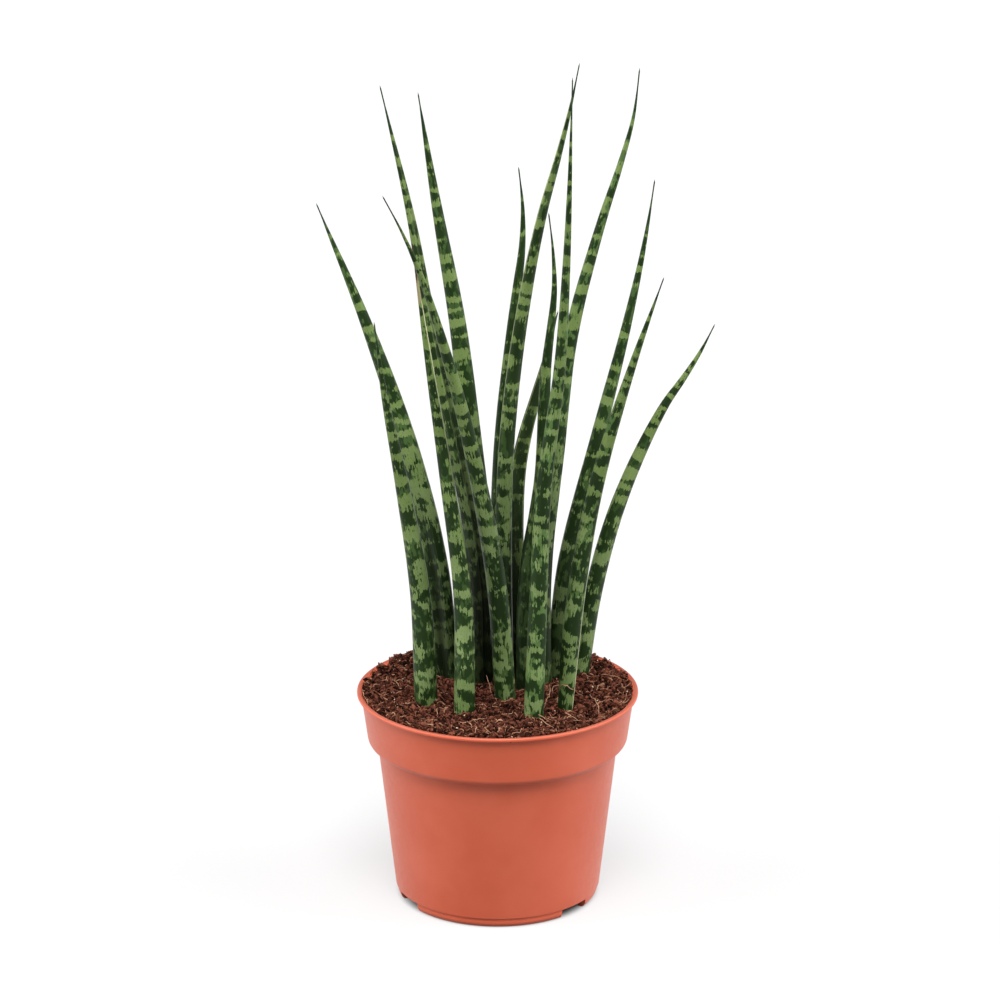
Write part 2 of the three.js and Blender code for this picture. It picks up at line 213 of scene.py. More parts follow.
# Injection-moulded polypropylene is evenly coloured right through, with a soft satin skin from the
# mould. It gives a broad dull sheen that turns paler towards the pot's sides, and faint flow marks.
polypropylene, tree = empty_material("polypropylene_injection_moulded")
place = add(tree, "ShaderNodeTexCoord").outputs["Object"]
FLOW_MARK = 38 * MM  # across the cloudy patches where the plastic flowed together
SKIN_GRAIN = 0.9 * MM  # of the mould's spark-eroded skin, coarser than life so that it shows
SCUFF = 3.5 * MM
SCUFFED = 0.22  # strength of the paler scuffs
LIP_TOP_PAINTED_SHADE = 0.65  # strength of the painted shade on the top of the lip alone, darker than the light from above leaves it
SOFT_STEP = {"interpolation_type": "SMOOTHSTEP"}
flow = add(tree, "ShaderNodeTexNoise",
           {"Vector": place, "Scale": 1 / FLOW_MARK, "Detail": 3, "Roughness": 0.55})
scuffs = add(tree, "ShaderNodeTexNoise",
             {"Vector": place, "Scale": 1 / SCUFF, "Detail": 5, "Roughness": 0.7})
grain = add(tree, "ShaderNodeTexNoise",
            {"Vector": place, "Scale": 1 / SKIN_GRAIN, "Detail": 2, "Roughness": 0.5})
above_table = add(tree, "ShaderNodeSeparateXYZ", {"Vector": place}).outputs["Z"]
clouds = add(tree, "ShaderNodeMapRange",
             {"Value": flow.outputs["Fac"], "From Min": 0.35, "From Max": 0.65}, **SOFT_STEP)
worn = add(tree, "ShaderNodeMapRange",
           {"Value": scuffs.outputs["Fac"], "From Min": 0.6, "From Max": 0.78, "To Max": SCUFFED},
           **SOFT_STEP)
# The top of the lip is darkened to a dull brown: painted shade, against the light from above.
lip_top_shade_mask = add(tree, "ShaderNodeMapRange",
           {"Value": above_table, "From Min": POT_HEIGHT - 0.35 * MM,
            "From Max": POT_HEIGHT - 0.05 * MM, "To Max": LIP_TOP_PAINTED_SHADE}, **SOFT_STEP)
body_colour = srgb("#C55738")
for share, colour in ((clouds, "#CB5E41"), (worn, "#CE7058"), (lip_top_shade_mask, "#84493A")):
    body_colour = add(tree, "ShaderNodeMix", {0: share, 6: body_colour, 7: srgb(colour)},
                      data_type="RGBA")
dullness = add(tree, "ShaderNodeMapRange",
               {"Value": scuffs.outputs["Fac"], "From Min": 0.3, "From Max": 0.75, "To Min": 0.4,
                "To Max": 0.52})
relief = add(tree, "ShaderNodeBump",
             {"Height": grain.outputs["Fac"], "Strength": 0.25, "Distance": 0.03 * MM})
plastic = add(tree, "ShaderNodeBsdfPrincipled",
              {"Base Color": body_colour, "Roughness": dullness, "IOR": 1.49, "Normal": relief})
add(tree, "ShaderNodeOutputMaterial", {"Surface": plastic})


def piece_from(mesh_in_work, name, material):
    """The finished bmesh as an object at the origin, smooth shaded, with its material."""
    mesh = bpy.data.meshes.new(name)
    mesh_in_work.to_mesh(mesh)
    mesh_in_work.free()
    mesh.shade_smooth()
    mesh.materials.append(material)
    piece = bpy.data.objects.new(name, mesh)
    bpy.context.scene.collection.objects.link(piece)
    return piece


pot = piece_from(pot_work, "nursery_pot", polypropylene)
cutters = piece_from(cutter_work, "pot_cutters", polypropylene)
cut = pot.modifiers.new("notches_and_drains", "BOOLEAN")
cut.operation = "DIFFERENCE"
cut.solver = "EXACT"
cut.object = cutters
bpy.context.view_layer.update()
pot.data = bpy.data.meshes.new_from_object(pot.evaluated_get(bpy.context.evaluated_depsgraph_get()))
pot.modifiers.clear()
bpy.data.objects.remove(cutters)

# The cut leaves a few points on top of each other, which are merged.
pot_work = bmesh.new()
pot_work.from_mesh(pot.data)
bmesh.ops.remove_doubles(pot_work, verts=pot_work.verts[:], dist=COINCIDENT)
pot_work.to_mesh(pot.data)
pot_work.free()
pot.data.shade_smooth()
pot.data.set_sharp_from_angle(angle=math.radians(SHARP_ANGLE))
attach(pot, "root")
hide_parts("pot")

# ---------------------------------------------------------------- leaves
# Each leaf is one stiff spear that grows straight out of the soil: nearly round, with a narrow channel
# along one side whose two lips run up to the needle tip. Its skin is a waxed green cuticle, banded and
# blotched in two greens, and it stands in the same place as its solid in the frame.

LEAF_SIDES = 48
STEPS_BETWEEN = 8  # rings of the fine leaf for each ring of its solid
FLATNESS = 0.94  # thickness towards the channel against the width
CHANNEL_DEPTH = 0.5  # share of the radius
TIP_RADIUS = 0.35 * MM
UNEVEN = 0.012  # share of the radius by which a leaf's girth wanders
UNEVEN_LENGTH = 17 * MM
UNEVEN_APART = 7.3  # between one leaf's place in the noise and the next one's
PATTERN_APART = 531  # the same for the skin's pattern, in millimetres
STEM_START = 3 * MM  # how far under the soil's highest point a leaf's share of length starts
PAINTED_SHADE_SHARES = (0.1, 0.55)  # of the length, between which the painted shade of the other leaves fades out

# What differs on each leaf: the channel's half width in degrees of the girth and the share of
# the leaf's length at which it has closed, the width in millimetres of the pale line on its lips and
# its strength at the foot and at the tip, the length of the dried tip in millimetres, how much more or
# less of the skin is pale, how much of the dark skin is mottled, and, last, how dark the foot is
# painted, as painted shade cast by the other leaves.
LEAVES = {
    "leaf_left_front": (30, 1, 0.35, 0, 0, 1.5, 0.005, 0.5, 0),
    "leaf_left_back": (36, 0.42, 0.3, 0.1, 0.1, 1.5, -0.02, 0.6, 0.6),
    "leaf_front_left": (30, 2, 0.6, -0.9, 1.3, 33, 0.01, 0.35, 0),
    "leaf_mid_left": (30, 1, 0.3, 0.1, 0.1, 1.5, 0, 0.4, 0.9),
    "leaf_front_middle": (30, 1, 0.35, 0.1, 0.1, 1.2, 0.005, 0.6, 0),
    "leaf_tall_left": (30, 1, 0.3, 0.1, 0.1, 1.2, -0.04, 0.4, 0.9),
    "leaf_thin_back": (30, 1, 0.3, 0.1, 0.1, 1.5, -0.09, 0.3, 0.8),
    "leaf_tall_middle": (30, 1.6, 0.3, 0.1, 0.55, 1.5, -0.015, 0.35, 0.4),
    "leaf_front_right": (30, 1.3, 0.4, 0.15, 0.25, 1.2, -0.015, 1, 0),
    "leaf_tall_right": (30, 1, 0.3, 0.1, 0.1, 1.5, -0.03, 0.8, 0.5),
    "leaf_short_middle": (30, 1, 0.35, 0.2, 0.2, 1.2, -0.08, 0.5, 0.6),
    "leaf_dark_middle": (62, 1.5, 0.35, 0.25, 0.25, 1.5, -0.06, 0.2, 0.7),
    "leaf_right_back": (30, 1, 0.3, 0.1, 0.1, 1.5, -0.05, 0.5, 0.6),
    "leaf_right_front": (30, 1, 0.7, 1, 0.1, 1.2, 0, 0.8, 0),
    "leaf_outer_right": (30, 1, 0.3, 0.2, 0.2, 1.2, 0.02, 0.25, 0.1),
}


def eased(value, low, high):
    """A soft step from 0 at low to 1 at high."""
    share = min(max((value - low) / (high - low), 0), 1)
    return share * share * (3 - 2 * share)


def rings_of(node):
    """The rings of a leaf's solid from the foot up: each one's centre, channel direction and radius."""
    work = bmesh.new()
    work.from_mesh(node.data)
    bmesh.ops.remove_doubles(work, verts=work.verts[:], dist=MERGED_WITHIN)
    tip_vert = max(work.verts, key=lambda vert: vert.co.z)
    tip = tip_vert.co.copy()
    reached = {tip_vert}
    ring = {tip_vert}
    found = []
    while True:
        ring = {edge.other_vert(vert) for vert in ring for edge in vert.link_edges} - reached
        if len(ring) < 3:
            break
        reached |= ring
        points = [vert.co.copy() for vert in ring]
        ends = max(((a, b) for a in points for b in points), key=lambda pair: (pair[0] - pair[1]).length)
        centre = (ends[0] + ends[1]) / 2
        channel = min(points, key=lambda point: (point - centre).length)
        found.append((centre, (channel - centre).normalized(), (ends[0] - ends[1]).length / 2))
    work.free()
    found.reverse()
    found.append((tip, found[-1][1], 0.0))
    return found


def smooth_between(before, start, end, after, share):
    """A point of the smooth curve through start and end, for numbers and vectors alike."""
    return (start * 2 + (end - before) * share
            + (before * 2 - start * 5 + end * 4 - after) * share ** 2
            + (start * 3 - before - end * 3 + after) * share ** 3) * 0.5


def stations_of(rings):
    """Centre, channel direction and radius at close steps from the foot to just under the tip."""
    stations = []
    for i in range(len(rings) - 1):
        before, after = rings[max(i - 1, 0)], rings[min(i + 2, len(rings) - 1)]
        for step in range(STEPS_BETWEEN):
            share = step / STEPS_BETWEEN
            stations.append([smooth_between(before[k], rings[i][k], rings[i + 1][k], after[k], share)
                             for k in range(3)])
    return stations


# A living leaf's cuticle is waxy and satin. Dark green skin carries pale green patches with ragged ends,
# as if brushed on in short strokes along the leaf; towards the tip the patches close to rings.
cuticle, tree = empty_material("leaf_cuticle_grown_waxy")
grown = add(tree, "ShaderNodeAttribute", attribute_name="grown").outputs["Vector"]
traits = {name: add(tree, "ShaderNodeAttribute", attribute_name=name).outputs["Fac"]
          for name in ("share", "tip", "lip", "margin", "channel", "paler", "mottled", "painted_shade")}
PATTERN = {  # size across and along the leaf in millimetres, and detail
    "patches": (7.4, 5.6, 1),
    "rings": (18, 5.6, 1),
    "strokes": (0.7, 3.2, 1),
    "teeth": (1.3, 5.5, 0),
    "freckles": (0.5, 0.9, 1),
    "mottle": (2.6, 5.5, 2),
    "tint": (16, 24, 0),
}
RING_SHARES = (0.2, 0.65)  # of the leaf's length, between which the patches turn to rings
RINGS_PALER = 0.028
RING_TEETH = 0.6  # reach of the rings' teeth against that of the patches'
noises = {}
for name, (across, along, detail) in PATTERN.items():
    stretched = add(tree, "ShaderNodeVectorMath",
                    {0: grown, 1: (1 / across, 1 / across, 1 / along)}, operation="MULTIPLY")
    noises[name] = add(tree, "ShaderNodeTexNoise",
                       {"Vector": stretched.outputs[0], "Scale": 1, "Detail": detail,
                        "Roughness": 0.5}).outputs["Fac"]

# Sums of noises, each taken from its middle value and times its weight, over a first value.
sums = {}
for name, first, weights in (
    ("ragged", 0, {"strokes": 0.36, "teeth": 0.24, "freckles": 0.14}),
    ("dappled", noises["mottle"], {"patches": 0.5, "tint": 0.25, "strokes": 0.2}),
    ("streaked", noises["tint"], {"strokes": 0.6}),
    ("dried", traits["tip"], {"strokes": 0.5}),
):
    total = first
    for noise_name, weight in weights.items():
        total = add(tree, "ShaderNodeMath", {0: noises[noise_name], 1: weight, 2: total},
                    operation="MULTIPLY_ADD")
    sums[name] = add(tree, "ShaderNodeMath", {0: total, 1: sum(weights.values()) / 2},
                     operation="SUBTRACT")

# Pale patches near the foot turn to rings further up, with shorter teeth and rather more of the pale.
upper = add(tree, "ShaderNodeMapRange",
            {"Value": traits["share"], "From Min": RING_SHARES[0], "From Max": RING_SHARES[1]},
            **SOFT_STEP)
bands = add(tree, "ShaderNodeMix", {0: upper, 2: noises["patches"], 3: noises["rings"]},
            data_type="FLOAT")
bands = add(tree, "ShaderNodeMath", {0: bands, 1: traits["paler"]}, operation="ADD")
bands = add(tree, "ShaderNodeMath", {0: upper, 1: RINGS_PALER, 2: bands}, operation="MULTIPLY_ADD")
teeth_reach = add(tree, "ShaderNodeMapRange", {"Value": upper, "To Min": 1, "To Max": RING_TEETH},
                  **SOFT_STEP)
field = add(tree, "ShaderNodeMath", {0: sums["ragged"], 1: teeth_reach, 2: bands},
            operation="MULTIPLY_ADD")

# Soft steps of a value, from one level to another, and what they give at each.
steps = {}
for name, value, low, high, at_low, at_high in (
    ("patch", field, 0.537, 0.552, 0, 1),
    ("spots", noises["freckles"], 0.64, 0.72, 1, 0.3),
    ("mottle", sums["dappled"], 0.5, 0.58, 0, 1),
    ("yellower", upper, 0, 1, 0, 0.55),
    # The channel's floor is painted darker: painted shade in the groove.
    ("channel", traits["channel"], 0, 1, 0, 0.6),
    ("lip", traits["lip"], 0.5, 1, 1, 0),
    ("dark_end", traits["share"], 0.9, 0.97, 0, 0.85),
    ("dry", sums["dried"], 0.88, 1, 1, 0),
    ("dead", sums["dried"], 0.5, 0.62, 1, 0),
):
    steps[name] = add(tree, "ShaderNodeMapRange",
                      {"Value": value, "From Min": low, "From Max": high, "To Min": at_low,
                       "To Max": at_high}, **SOFT_STEP)
covers = {}
for name, first, second in (
    ("mottle", steps["mottle"], traits["mottled"]),
    ("patch", steps["patch"], steps["spots"]),
    ("lip", steps["lip"], traits["margin"]),
):
    covers[name] = add(tree, "ShaderNodeMath", {0: first, 1: second}, operation="MULTIPLY")
pale_green = srgb("#546A37")
for share, colour in ((sums["streaked"], "#7F925F"), (steps["yellower"], "#61753C")):
    pale_green = add(tree, "ShaderNodeMix", {0: share, 6: pale_green, 7: srgb(colour)},
                     data_type="RGBA")
skin_colour = srgb("#15260C")
for share, colour in (
    (noises["tint"], srgb("#243818")),
    (covers["mottle"], srgb("#4F6939")),
    (covers["patch"], pale_green),
    # The channel's floor painted a dark brown-grey: painted shade in the channel's hollow.
    (steps["channel"], srgb("#242B1B")),
    (covers["lip"], srgb("#C3C79C")),
    # The feet of the inner leaves are painted near black: painted shade of the other leaves.
    (traits["painted_shade"], srgb("#080C05")),
    (steps["dark_end"], srgb("#1A2E1E")),
    (steps["dry"], srgb("#8E8663")),
    (steps["dead"], srgb("#3E3226")),
):
    skin_colour = add(tree, "ShaderNodeMix", {0: share, 6: skin_colour, 7: colour}, data_type="RGBA")
relief = add(tree, "ShaderNodeBump",
             {"Height": noises["strokes"], "Strength": 0.35, "Distance": 0.12 * MM})
skin = add(tree, "ShaderNodeBsdfPrincipled",
           {"Base Color": skin_colour, "Roughness": 0.42, "IOR": 1.45, "Specular IOR Level": 0.15,
            "Normal": relief})
add(tree, "ShaderNodeOutputMaterial", {"Surface": skin})

soil_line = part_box("soil")[1].z
leaf_feet = []
for number, (name, grew) in enumerate(LEAVES.items()):
    channel_half, closed, lip_width, foot_lip, tip_lip, dried_length, paler, mottled, foot_painted_shade = grew
    rings = rings_of(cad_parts[name])
    stations = stations_of(rings)
    tip_point = rings[-1][0]
    lengths = [0.0]
    for start, end in zip(stations, stations[1:]):
        lengths.append(lengths[-1] + (end[0] - start[0]).length)
    whole = lengths[-1] + (tip_point - stations[-1][0]).length
    above = [station for station in stations if station[0].z > soil_line - STEM_START]
    buried = lengths[len(stations) - len(above)]
    leaf_feet.append((above[0][0], above[0][2]))
    work = bmesh.new()
    layers = {key: work.verts.layers.float.new(key) for key in traits}
    grown_layer = work.verts.layers.float_vector.new("grown")
    bmesh.ops.create_circle(work, cap_ends=True, segments=LEAF_SIDES, radius=stations[0][2])
    ring = work.verts[:]
    edges = work.edges[:]
    for i, (centre, channel, radius) in enumerate(stations):
        if i:
            grown_out = bmesh.ops.extrude_edge_only(work, edges=edges)["geom"]
            ring = [part for part in grown_out if isinstance(part, bmesh.types.BMVert)]
            edges = [part for part in grown_out if isinstance(part, bmesh.types.BMEdge)]
            edges = [edge for edge in edges if len(edge.link_faces) == 1]
        along = ((stations[i + 1][0] if i + 1 < len(stations) else tip_point)
                 - stations[max(i - 1, 0)][0]).normalized()
        out = (channel - along * channel.dot(along)).normalized()
        across = out.cross(along)
        wander = noise.noise((lengths[i] / UNEVEN_LENGTH, UNEVEN_APART * number, 0))
        girth = max(radius, TIP_RADIUS) * (1 + UNEVEN * wander)
        share = max(lengths[i] - buried, 0) / (whole - buried)
        still_open = min(max(2 * (1 - share / closed), 0), 1)
        for k, vert in enumerate(ring):
            bearing = 360 * k / LEAF_SIDES
            away = abs((bearing + 180) % 360 - 180)
            inside = math.cos(math.pi / 2 * min(away / channel_half, 1))
            reach = girth * (1 - CHANNEL_DEPTH * still_open * inside)
            x = reach * math.sin(math.radians(bearing))
            y = reach * math.cos(math.radians(bearing)) * FLATNESS
            vert.co = centre + across * x + out * y
            vert[layers["share"]] = share
            vert[layers["tip"]] = (whole - lengths[i]) / (dried_length * MM)
            vert[layers["lip"]] = abs(math.radians(away - channel_half)) * girth / (lip_width * MM)
            vert[layers["margin"]] = (foot_lip + (tip_lip - foot_lip) * share) * still_open
            vert[layers["channel"]] = inside * still_open
            vert[layers["paler"]] = paler
            vert[layers["mottled"]] = mottled
            # The foot's painted shade, strongest at the soil and gone higher up the leaf.
            vert[layers["painted_shade"]] = foot_painted_shade * (1 - eased(share, *PAINTED_SHADE_SHARES))
            vert[grown_layer] = (x / MM, y / MM, lengths[i] / MM + PATTERN_APART * (number + 1))
    last = bmesh.ops.extrude_edge_only(work, edges=edges)["geom"]
    ends = [part for part in last if isinstance(part, bmesh.types.BMVert)]
    bmesh.ops.pointmerge(work, verts=ends, merge_co=tip_point)
    bmesh.ops.recalc_face_normals(work, faces=work.faces[:])
    leaf = piece_from(work, name.replace("leaf_", "spear_"), cuticle)
    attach(leaf, "root")
    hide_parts(name)

# ---------------------------------------------------------------- soil bed
# The pot is filled with a moist mix of milled peat and coir, the shredded husk of coconuts. It is poured
# in and pressed round the leaves, and its top is a rough bed of dark lumps.

WALL_GAP = 0.3 * MM
SOIL_RADIUS = 67.5 * MM
EDGE_LEVEL = 106.8 * MM
MOUND = 0.6 * MM  # how much higher it lies among the leaves
MOUND_SHARE = 0.35  # of the radius, within which the mound is level
GRID_COUNT = 200
HEAPS = (  # x, y, reach and height of heaps of loose crumbs, in millimetres
    (-42, 47, 15, 2.6),
    (-30, -12, 14, 1.2),
    (50, 8, 16, 1.4),
    (6, -24, 12, 1),
)
LUMPS = ((7.5, 1.1), (3.6, 1.3), (1.7, 0.9))  # size across and height of lumps, in millimetres


def soil_level(x, y):
    """Height of the bed at a place, with its mound, heaps and lumps."""
    level = EDGE_LEVEL + MOUND * (1 - eased(math.hypot(x, y) / SOIL_RADIUS, MOUND_SHARE, 1))
    for heap_x, heap_y, reach, height in HEAPS:
        away = math.hypot(x - heap_x * MM, y - heap_y * MM) / (reach * MM)
        level += height * MM * (1 - eased(away, 0, 1))
    for size, height in LUMPS:
        level += height * MM * noise.noise((x / (size * MM), y / (size * MM), size))
    return level


# A square grid is drawn out to a disc, and each vertex keeps how far it lies under the smaller lumps, for
# the painted shade in the hollows.
bed_work = bmesh.new()
hollow_layer = bed_work.verts.layers.float.new("hollow")
bmesh.ops.create_grid(bed_work, x_segments=GRID_COUNT, y_segments=GRID_COUNT, size=1)
edge_loop = [edge for edge in bed_work.edges if edge.is_boundary]
for vert in bed_work.verts:
    u, v = vert.co.x, vert.co.y
    x, y = u * math.sqrt(1 - v * v / 2) * SOIL_RADIUS, v * math.sqrt(1 - u * u / 2) * SOIL_RADIUS
    vert.co = (x, y, soil_level(x, y))
    vert[hollow_layer] = -sum(height * noise.noise((x / (size * MM), y / (size * MM), size))
                              for size, height in LUMPS[1:])
# Its edge goes down the pot's inside to the floor and is closed there.
for z in (POT_HEIGHT - LIP_BEND, band_foot + POT_WALL + WALL_GAP, body_top - WALL_GAP,
          floor_top + WALL_GAP):
    lower = bmesh.ops.extrude_edge_only(bed_work, edges=edge_loop)["geom"]
    edge_loop = [part for part in lower if isinstance(part, bmesh.types.BMEdge) and part.is_boundary]
    for vert in {vert for edge in edge_loop for vert in edge.verts}:
        flat = Vector((vert.co.x, vert.co.y, 0)).normalized() * (inner_radius(z) - 2 * WALL_GAP)
        vert.co = (flat.x, flat.y, z)
bmesh.ops.edgeloop_fill(bed_work, edges=edge_loop)
bmesh.ops.recalc_face_normals(bed_work, faces=bed_work.faces[:])

# Milled peat is dark, moist and dull, a crumble of particles from dust to a few millimetres, and shows
# red-brown where its crumbs catch the light. The hollows between its lumps are painted darker still, as
# painted shade.
peat, tree = empty_material("peat_milled_moist")
place = add(tree, "ShaderNodeTexCoord").outputs["Object"]
hollow = add(tree, "ShaderNodeAttribute", attribute_name="hollow").outputs["Fac"]
PARTICLE_SIZE = 1.6 * MM
PEAT_DUST = 0.6 * MM
particles = add(tree, "ShaderNodeTexNoise",
                {"Vector": place, "Scale": 1 / PARTICLE_SIZE, "Detail": 3, "Roughness": 0.6})
peat_dust = add(tree, "ShaderNodeTexNoise",
                {"Vector": place, "Scale": 1 / PEAT_DUST, "Detail": 3, "Roughness": 0.6})
crumbly = add(tree, "ShaderNodeMapRange",
              {"Value": particles.outputs["Fac"], "From Min": 0.4, "From Max": 0.62}, **SOFT_STEP)
# The hollows are painted near black: painted shade between the lumps.
hollow_painted_shade = add(tree, "ShaderNodeMapRange", {"Value": hollow, "From Min": -0.3, "From Max": 0.35},
           **SOFT_STEP)
peat_colour = srgb("#190A06")
for share, colour in ((crumbly, "#4C291C"), (hollow_painted_shade, "#0C0503")):
    peat_colour = add(tree, "ShaderNodeMix", {0: share, 6: peat_colour, 7: srgb(colour)},
                      data_type="RGBA")
relief = add(tree, "ShaderNodeBump",
             {"Height": peat_dust.outputs["Fac"], "Strength": 0.8, "Distance": 0.5 * MM})
dull = add(tree, "ShaderNodeBsdfPrincipled",
           {"Base Color": peat_colour, "Roughness": 0.85, "Specular IOR Level": 0.02,
            "Normal": relief})
add(tree, "ShaderNodeOutputMaterial", {"Surface": dull})

bed = piece_from(bed_work, "soil_bed", peat)
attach(bed, "root")
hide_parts("soil")

# ---------------------------------------------------------------- soil crumbs
# Loose crumbs of peat and coir husk lie all over the bed, most of them small, and some are spilt on the
# rim. Nothing fixes them: they lie as they fell.

CRUMB_COUNT = 5200
CRUMB_SMALLEST = 0.4  # radius in millimetres
CRUMB_LARGEST = 1.4
CRUMB_LUMPINESS = 0.3  # share of the size by which a crumb's corners stand in or out
SPECK_SHARE = 0.03  # of the crumbs, that are small pale specks
SPECK_SIZE = 0.45 * MM
SPECK_TONES = (0.95, 1)
SPILT_TONES = (0.2, 0.5)
SPILT_ACROSS = (-1.6, 0.8)  # millimetres inwards and outwards of a spill's middle
CRUMB_RISE = (-0.2, 0.5)  # of its middle over the bed, as shares of its size
LOOSE_RADIUS = 67.3 * MM
SPILLS = (  # crumbs heaped on the rim: x, y, half width and height in millimetres, and how many
    (-52.6, 42.2, 3.2, 2.2, 46),
    (-59.3, 31.5, 2.4, 1.2, 20),
    (49.2, 45.8, 2.2, 0.8, 12),
    (54.8, 40.4, 0.8, 0.6, 4),
)


def open_place(draw, margin):
    """A random place on the bed that isn't inside a leaf."""
    while True:
        radius = LOOSE_RADIUS * math.sqrt(draw.random())
        angle = draw.uniform(0, 2 * math.pi)
        x, y = radius * math.cos(angle), radius * math.sin(angle)
        if all(math.hypot(x - foot.x, y - foot.y) > girth + margin for foot, girth in leaf_feet):
            return x, y


def template(work):
    """The bmesh as bare mesh data that many copies are made from."""
    mesh = bpy.data.meshes.new("template")
    work.to_mesh(mesh)
    work.free()
    return mesh


crumb_shape = bmesh.new()
bmesh.ops.create_icosphere(crumb_shape, subdivisions=1, radius=1)
crumb_mesh = template(crumb_shape)
spilt = [spill for spill in SPILLS for _ in range(spill[4])]
crumb_work = bmesh.new()
tone_layer = crumb_work.verts.layers.float.new("tone")
for _ in range(CRUMB_COUNT + len(spilt)):
    crumb_work.from_mesh(crumb_mesh)
draw = random.Random(3)
corners = crumb_work.verts[:]
per_crumb = len(crumb_mesh.vertices)
for number in range(CRUMB_COUNT + len(spilt)):
    size = MM * (CRUMB_SMALLEST + (CRUMB_LARGEST - CRUMB_SMALLEST) * draw.random() ** 2.5)
    crumb_tone = 0.5 * draw.random() ** 1.2
    if draw.random() < SPECK_SHARE:
        crumb_tone, size = draw.uniform(*SPECK_TONES), SPECK_SIZE
    if number < CRUMB_COUNT:
        x, y = open_place(draw, -0.4 * MM)
        centre = Vector((x, y, soil_level(x, y) + size * draw.uniform(*CRUMB_RISE)))
    else:
        x, y, half, height, _ = spilt[number - CRUMB_COUNT]
        away = draw.uniform(-1, 1)
        outward = Vector((x, y, 0)).normalized()
        centre = (Vector((x, y, 0)) + Vector((-outward.y, outward.x, 0)) * half * away
                  + outward * draw.uniform(*SPILT_ACROSS)) * MM
        centre.z = POT_HEIGHT + size * 0.4 + height * MM * (1 - away * away) * draw.random()
        crumb_tone = draw.uniform(*SPILT_TONES)
    angle = draw.uniform(0, 2 * math.pi)
    axis = Vector([draw.uniform(-1, 1) for _ in range(3)]).normalized()
    turn = Matrix.Rotation(angle, 3, axis)
    stretch = Vector((draw.uniform(0.6, 1.6), draw.uniform(0.7, 1), draw.uniform(0.5, 0.9)))
    for vert in corners[number * per_crumb:(number + 1) * per_crumb]:
        knock = 1 + draw.uniform(-CRUMB_LUMPINESS, CRUMB_LUMPINESS)
        shaped = Vector((vert.co.x * stretch.x, vert.co.y * stretch.y, vert.co.z * stretch.z))
        vert.co = centre + turn @ (shaped * size * knock)
        vert[tone_layer] = crumb_tone

# Shredded coir is dry and dull, and lighter than the peat that sticks to it. Each crumb and fibre carries
# a tone of its own, from dark peat over red-brown husk to tan strands and pale specks.
coir, tree = empty_material("coir_husk_shredded")
tone = add(tree, "ShaderNodeAttribute", attribute_name="tone").outputs["Fac"]
place = add(tree, "ShaderNodeTexCoord").outputs["Object"]
FIBRE_GRAIN = 0.5 * MM
fibre_grain = add(tree, "ShaderNodeTexNoise",
                  {"Vector": place, "Scale": 1 / FIBRE_GRAIN, "Detail": 2, "Roughness": 0.6})
coir_colour = srgb("#160704")
for low, high, colour in ((0, 0.5, "#774636"), (0.5, 0.8, "#B0866A"), (0.85, 1, "#E0CDB2")):
    reached = add(tree, "ShaderNodeMapRange", {"Value": tone, "From Min": low, "From Max": high},
                  **SOFT_STEP)
    coir_colour = add(tree, "ShaderNodeMix", {0: reached, 6: coir_colour, 7: srgb(colour)},
                      data_type="RGBA")
uneven = add(tree, "ShaderNodeMapRange",
             {"Value": fibre_grain.outputs["Fac"], "From Min": 0.3, "From Max": 0.7, "To Min": 0.6,
              "To Max": 1.2}, **SOFT_STEP)
coir_colour = add(tree, "ShaderNodeVectorMath", {0: coir_colour, "Scale": uneven}, operation="SCALE")
wiry = add(tree, "ShaderNodeBsdfPrincipled",
           {"Base Color": coir_colour, "Roughness": 0.7, "Specular IOR Level": 0.04})
add(tree, "ShaderNodeOutputMaterial", {"Surface": wiry})

crumbs = piece_from(crumb_work, "soil_crumbs", coir)
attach(crumbs, "root")

# ---------------------------------------------------------------- soil fibres
# Coir fibres are the short strands of the husk, dry and wiry. They lie curled over the bed among the
# crumbs, and the tops of their curls catch the light.

FIBRE_COUNT = 4800
FIBRE_STATIONS = 6
FIBRE_SIDES = 3
FIBRE_SHORTEST = 1.4  # millimetres
FIBRE_SPREAD = 4.2  # how much longer the longest is
FIBRE_THICKNESS = (0.25, 0.65)
FIBRE_LIFT = (-0.1, 0.8)  # height over the bed
FIBRE_CURL = 1.6  # radians by which it turns at most
FIBRE_ARCH = 0.28  # height of its arch, and of one end over the other, at most, as shares of its length
FIBRE_TILT = 0.22
DARK_TONE = 0.55  # highest tone of the dark fibres
LIGHT_TONES = (0.6, 0.82)
LIGHT_SHARE = 0.15  # of the fibres, that are light
STRAND_END = 0.45  # thickness of a strand's ends against its middle


def strand_template(stations, sides):
    """A straight unit strand along Z, with one ring of sides at each station, to be curled."""
    work = bmesh.new()
    bmesh.ops.create_circle(work, cap_ends=True, segments=sides, radius=1)
    edges = work.edges[:]
    for _ in range(stations - 1):
        lengthened = bmesh.ops.extrude_edge_only(work, edges=edges)["geom"]
        ring = [part for part in lengthened if isinstance(part, bmesh.types.BMVert)]
        bmesh.ops.translate(work, verts=ring, vec=(0, 0, 1))
        edges = [part for part in lengthened
                 if isinstance(part, bmesh.types.BMEdge) and part.is_boundary]
    bmesh.ops.edgeloop_fill(work, edges=edges)
    bmesh.ops.recalc_face_normals(work, faces=work.faces[:])
    return template(work)


